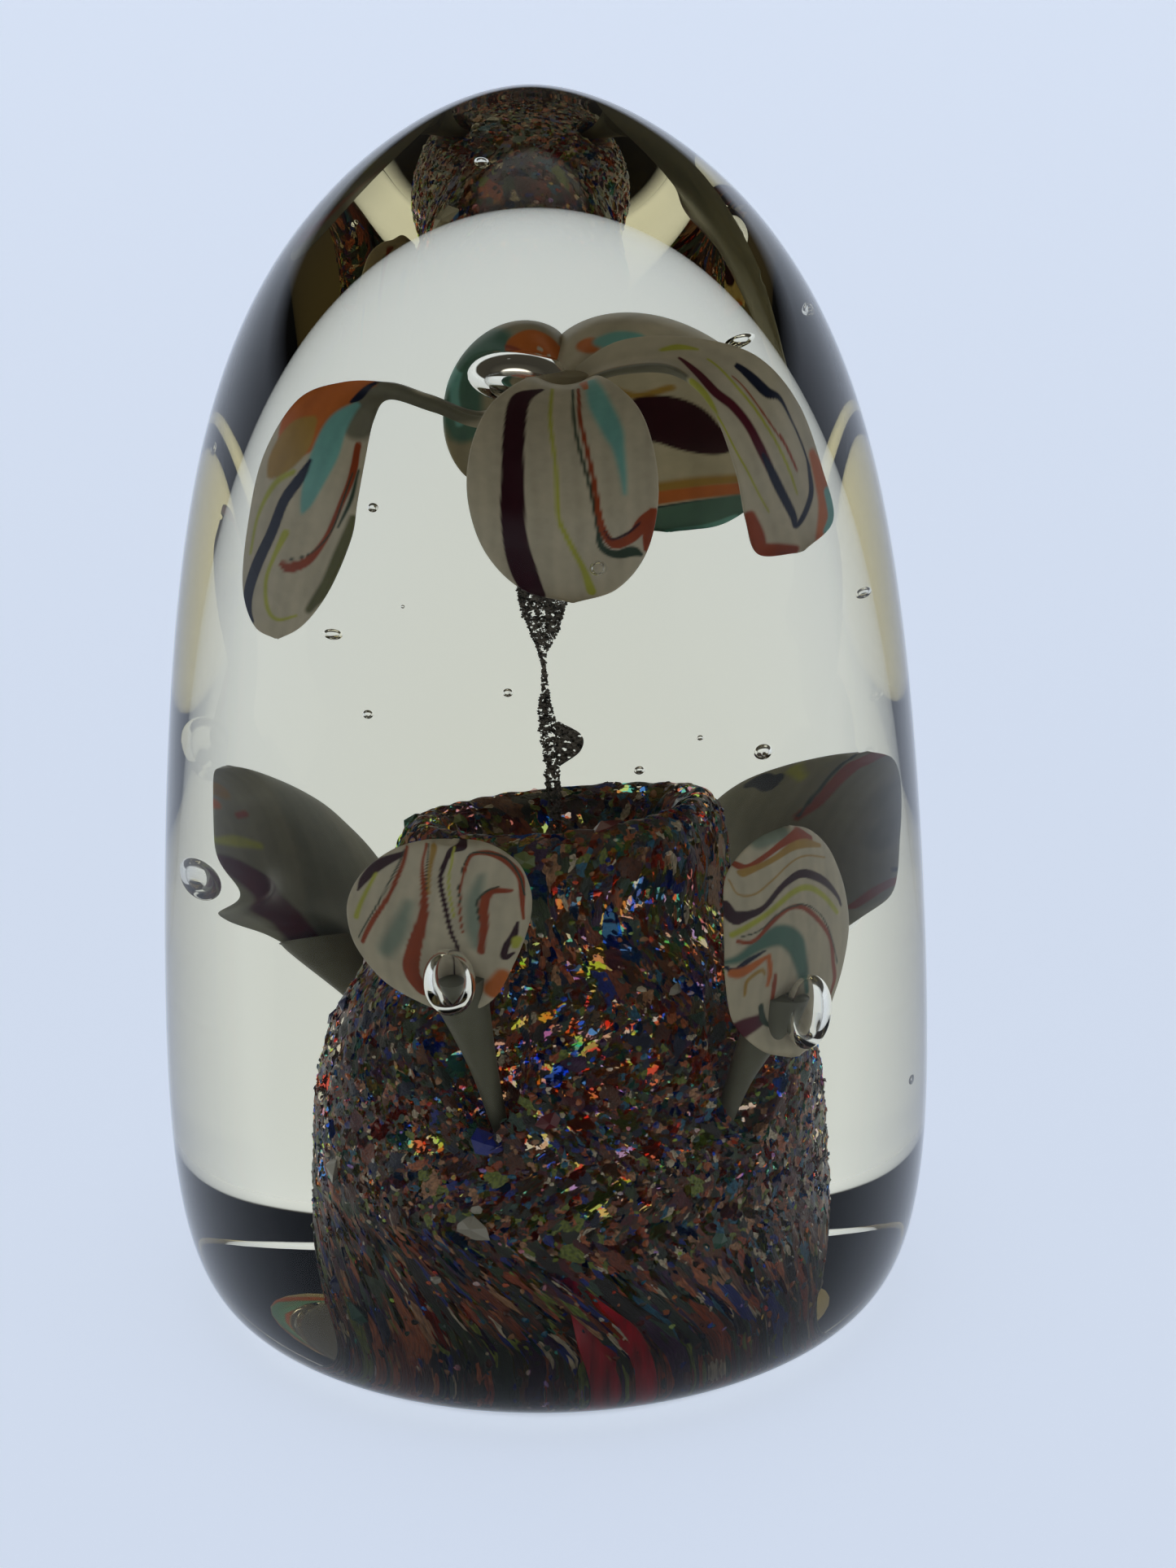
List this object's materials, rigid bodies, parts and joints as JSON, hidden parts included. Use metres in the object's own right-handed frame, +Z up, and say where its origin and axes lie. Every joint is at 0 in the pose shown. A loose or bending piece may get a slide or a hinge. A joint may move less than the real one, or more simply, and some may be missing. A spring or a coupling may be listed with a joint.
{
  "type": "paperweight",
  "caption": "Egg-shaped clear glass paperweight with a flat ground base, a pot of crushed coloured glass, trumpet lilies and a drooping striped flower set inside.",
  "frame": {"origin": "centre of the flat ground base", "axes": "+Z up from the base to the crown; the front is towards -Y"},
  "size_m": [0.0806, 0.0806, 0.127],
  "materials": {
    "clear_glass": "fire-polished clear glass with a faint grey-green tint, ground flat below",
    "core_glass": "clear glass fused inside the pot, ground flat below",
    "crushed_glass": "fused crushed glass chips in many colours",
    "chip_glass": "coarse fused glass chips",
    "red_glass": "deep red glass drawn out in a smear",
    "stem_glass": "opal glass with a crust of fine bubbles",
    "crust": "rough grey thread of fine bubbles and ash",
    "lily_glass": "glossy opal white glass with drawn coloured stripes",
    "petal_glass": "glossy opal white glass with drawn coloured stripes"
  },
  "bodies": {
    "root": {"clear_casing": "clear_glass", "clear_core": "core_glass", "frit_pot": "crushed_glass", "coarse_chips": "chip_glass", "red_smear": "red_glass", "flower_stem": "stem_glass", "centre_thread": "crust", "thread_flake": "crust", "lily_front_left": "lily_glass", "lily_front_right": "lily_glass", "lily_right": "lily_glass", "lily_left": "lily_glass", "petal_front": "petal_glass", "petal_right": "petal_glass", "petal_back_right": "petal_glass", "petal_back_left": "petal_glass", "petal_left": "petal_glass"}
  },
  "joints": []
}
